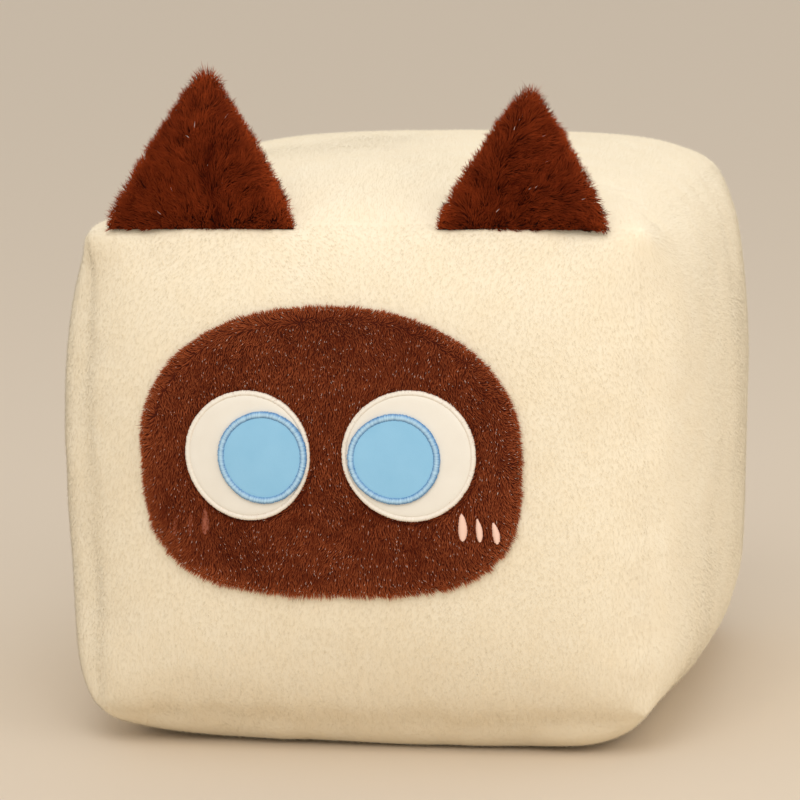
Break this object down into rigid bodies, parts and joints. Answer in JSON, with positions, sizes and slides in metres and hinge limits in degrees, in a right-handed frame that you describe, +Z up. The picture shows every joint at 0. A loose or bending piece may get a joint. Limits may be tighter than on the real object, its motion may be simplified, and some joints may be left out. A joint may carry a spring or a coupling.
{
  "type": "plush cat",
  "caption": "Stuffed cube-shaped plush cat cushion with two soft ears sewn into the front top seam and an embroidered face patch.",
  "frame": {"origin": "middle of the flat face it rests on, at the centre of the bounding box", "axes": "+Z up, -Y towards the front with the cat's face, +X towards the viewer's right"},
  "size_m": [0.356, 0.367, 0.3636],
  "materials": {
    "cream_plush": "short soft pile",
    "cream_thread": "matt twisted thread",
    "fibre_filling": "loose polyester wadding",
    "brown_plush": "short soft pile",
    "brown_thread": "matt twisted thread",
    "pink_embroidery": "satin stitch",
    "white_satin_stitch": "satin stitch",
    "white_felt": "smooth brushed fabric",
    "blue_satin_stitch": "satin stitch",
    "blue_felt": "smooth brushed fabric",
    "ear_backing": "knitted backing",
    "ear_plush": "long soft pile"
  },
  "bodies": {
    "body": {"front_panel": "cream_plush", "back_panel": "cream_plush", "left_panel": "cream_plush", "right_panel": "cream_plush", "top_panel": "cream_plush", "bottom_panel": "cream_plush", "seam_thread": "cream_thread", "closing_stitches": "cream_thread", "body_filling": "fibre_filling", "face_patch": "brown_plush", "face_patch_thread": "brown_thread", "left_cheek_marks": "pink_embroidery", "right_cheek_marks": "pink_embroidery", "left_eye_white": "white_felt", "right_eye_white": "white_felt", "left_eye_white_stitching": "white_satin_stitch", "right_eye_white_stitching": "white_satin_stitch", "left_iris": "blue_felt", "right_iris": "blue_felt", "left_iris_stitching": "blue_satin_stitch", "right_iris_stitching": "blue_satin_stitch", "left_ear_hem": "ear_backing", "right_ear_hem": "ear_backing"},
    "left_ear": {"left_ear_front": "ear_plush", "left_ear_back": "ear_plush", "left_ear_filling": "fibre_filling"},
    "right_ear": {"right_ear_front": "ear_plush", "right_ear_back": "ear_plush", "right_ear_filling": "fibre_filling"}
  },
  "joints": [
    {"name": "left_ear_tilt", "type": "hinge", "parent": "body", "child": "left_ear", "pos_m": [-0.083, -0.156, 0.291], "axis": [1, 0, 0], "range_deg": [-35, 80], "stiffness_Nm_per_rad": 0.04},
    {"name": "right_ear_tilt", "type": "hinge", "parent": "body", "child": "right_ear", "pos_m": [0.087, -0.156, 0.291], "axis": [1, 0, 0], "range_deg": [-35, 80], "stiffness_Nm_per_rad": 0.04}
  ]
}
